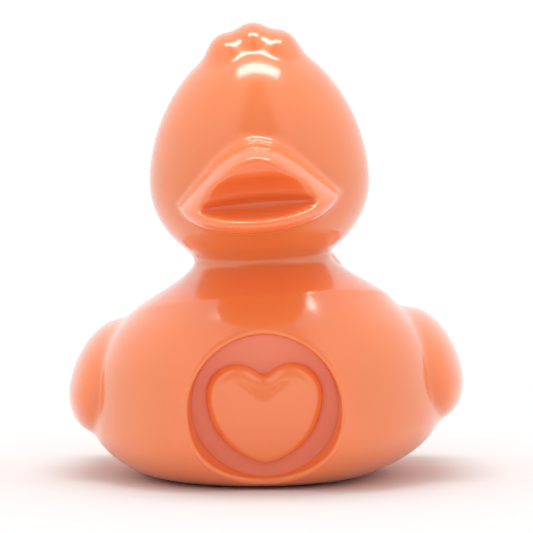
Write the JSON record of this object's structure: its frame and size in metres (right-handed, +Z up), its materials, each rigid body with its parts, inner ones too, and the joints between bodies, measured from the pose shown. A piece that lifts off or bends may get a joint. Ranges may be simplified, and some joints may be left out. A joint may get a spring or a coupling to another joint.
{
  "type": "rubber duck",
  "caption": "Glossy orange rubber duck for the bath or desk, a one-piece hollow vinyl shell with a raised heart in a round breast pocket, resting on a flat base.",
  "frame": {"origin": "centre of the flat base, on the surface that the duck stands on", "axes": "+Z up, the bill and the breast face -Y, the tail points to +Y, the left wing is at +X"},
  "size_m": [0.0731, 0.0879, 0.0835],
  "materials": {
    "orange_vinyl": "glossy moulded vinyl"
  },
  "bodies": {
    "root": {"duck": "orange_vinyl"}
  },
  "joints": []
}
